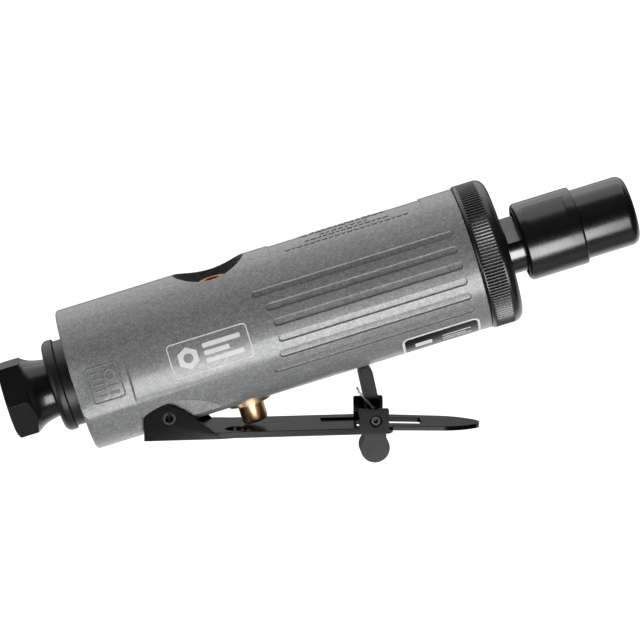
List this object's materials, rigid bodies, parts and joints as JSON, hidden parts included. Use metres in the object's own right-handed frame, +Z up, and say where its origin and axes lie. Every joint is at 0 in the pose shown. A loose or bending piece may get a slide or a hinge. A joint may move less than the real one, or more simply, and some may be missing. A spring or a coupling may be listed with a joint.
{
  "type": "die grinder",
  "caption": "Straight pneumatic die grinder: knurled front ring, collet nut, grooved barrel, throttle lever with lock-off catch, air regulator and hex air inlet.",
  "frame": {"origin": "centre of the collet nut's front face, where the collet's bore opens", "axes": "+X along the spindle towards the nose, +Z up, away from the throttle lever"},
  "size_m": [0.1725, 0.039, 0.0643],
  "materials": {
    "body_grey": "fine metallic grey coat on aluminium, satin",
    "black_steel": "black oxide, semi-gloss",
    "pin_steel": "dark oiled steel",
    "spindle_steel": "hardened, dark",
    "bearing_steel": "ground and polished",
    "cage_brass": "machined",
    "copper_alloy": "turned, satin",
    "seal_rubber": "matt",
    "motor_iron": "ground faces",
    "vane_phenolic": "cloth-filled resin",
    "spring_wire": "bright drawn wire",
    "muffler_felt": "pressed felt",
    "screen_mesh": "perforated"
  },
  "bodies": {
    "housing": {"barrel_housing": "body_grey", "front_clamp_ring": "black_steel", "spindle_dust_seal": "seal_rubber", "front_bearing_outer_ring": "bearing_steel", "rear_bearing_outer_ring": "bearing_steel", "front_end_plate": "motor_iron", "rear_end_plate": "motor_iron", "motor_cylinder": "motor_iron", "motor_dowel_pin": "pin_steel", "throttle_bushing": "copper_alloy", "throttle_bushing_o_ring": "seal_rubber", "regulator_retaining_ring": "black_steel", "inlet_bushing": "black_steel", "inlet_screen": "screen_mesh", "inlet_seal_ring": "seal_rubber", "exhaust_deflector": "black_steel", "muffler_ring": "muffler_felt", "lever_pivot_pin": "pin_steel"},
    "rotor": {"spindle_rotor": "spindle_steel", "rotor_vanes": "vane_phenolic", "rotor_spacer": "spindle_steel", "front_bearing_inner_ring": "bearing_steel", "rear_bearing_inner_ring": "bearing_steel"},
    "front_ball_set": {"front_bearing_balls": "bearing_steel", "front_bearing_cage": "cage_brass"},
    "rear_ball_set": {"rear_bearing_balls": "bearing_steel", "rear_bearing_cage": "cage_brass"},
    "collet": {"collet": "spindle_steel"},
    "nut": {"collet_nut": "black_steel"},
    "lever": {"throttle_lever": "black_steel", "catch_pin": "pin_steel"},
    "lock_off": {"lock_off_catch": "black_steel", "catch_torsion_spring": "spring_wire"},
    "valve": {"throttle_button": "copper_alloy", "throttle_button_o_ring": "seal_rubber", "throttle_valve_seal": "seal_rubber", "throttle_spring": "spring_wire"},
    "regulator": {"air_regulator": "copper_alloy", "regulator_o_ring": "seal_rubber"}
  },
  "joints": [
    {"name": "spindle_spin", "type": "hinge", "parent": "housing", "child": "rotor", "pos_m": [0, 0, 0], "axis": [1, 0, 0], "continuous": true},
    {"name": "front_balls_orbit", "type": "hinge", "parent": "housing", "child": "front_ball_set", "pos_m": [0, 0, 0], "axis": [1, 0, 0], "continuous": true},
    {"name": "rear_balls_orbit", "type": "hinge", "parent": "housing", "child": "rear_ball_set", "pos_m": [0, 0, 0], "axis": [1, 0, 0], "continuous": true},
    {"name": "collet_slide", "type": "slide", "parent": "rotor", "child": "collet", "axis": [1, 0, 0], "range_m": [0, 0.00125]},
    {"name": "collet_nut_turn", "type": "hinge", "parent": "collet", "child": "nut", "pos_m": [0, 0, 0], "axis": [1, 0, 0], "range_deg": [0, 450]},
    {"name": "lever_press", "type": "hinge", "parent": "housing", "child": "lever", "pos_m": [-0.133, 0, -0.0154], "axis": [0, -1, 0], "range_deg": [0, 9], "stiffness_Nm_per_rad": 1.2},
    {"name": "lock_off_swing", "type": "hinge", "parent": "lever", "child": "lock_off", "pos_m": [-0.08139, 0, -0.03244], "axis": [0, -1, 0], "range_deg": [0, 79], "stiffness_Nm_per_rad": 0.01, "deforming": ["catch_torsion_spring"]},
    {"name": "throttle_slide", "type": "slide", "parent": "housing", "child": "valve", "axis": [0, 0, 1], "range_m": [0, 0.0031], "stiffness_N_per_m": 60, "deforming": ["throttle_spring"]},
    {"name": "regulator_turn", "type": "hinge", "parent": "housing", "child": "regulator", "pos_m": [-0.1116, 0, 0], "axis": [0, 0, 1], "range_deg": [-90, 90]}
  ],
  "couplings": [
    {"joint": "front_balls_orbit", "follows": "spindle_spin", "ratio": 0.381},
    {"joint": "rear_balls_orbit", "follows": "spindle_spin", "ratio": 0.368},
    {"joint": "collet_nut_turn", "follows": "collet_slide", "rad_per_m": 6283.2},
    {"joint": "lock_off_swing", "follows": "lever_press", "ratio": 8.6667},
    {"joint": "throttle_slide", "follows": "lever_press", "m_per_rad": 0.0193}
  ]
}
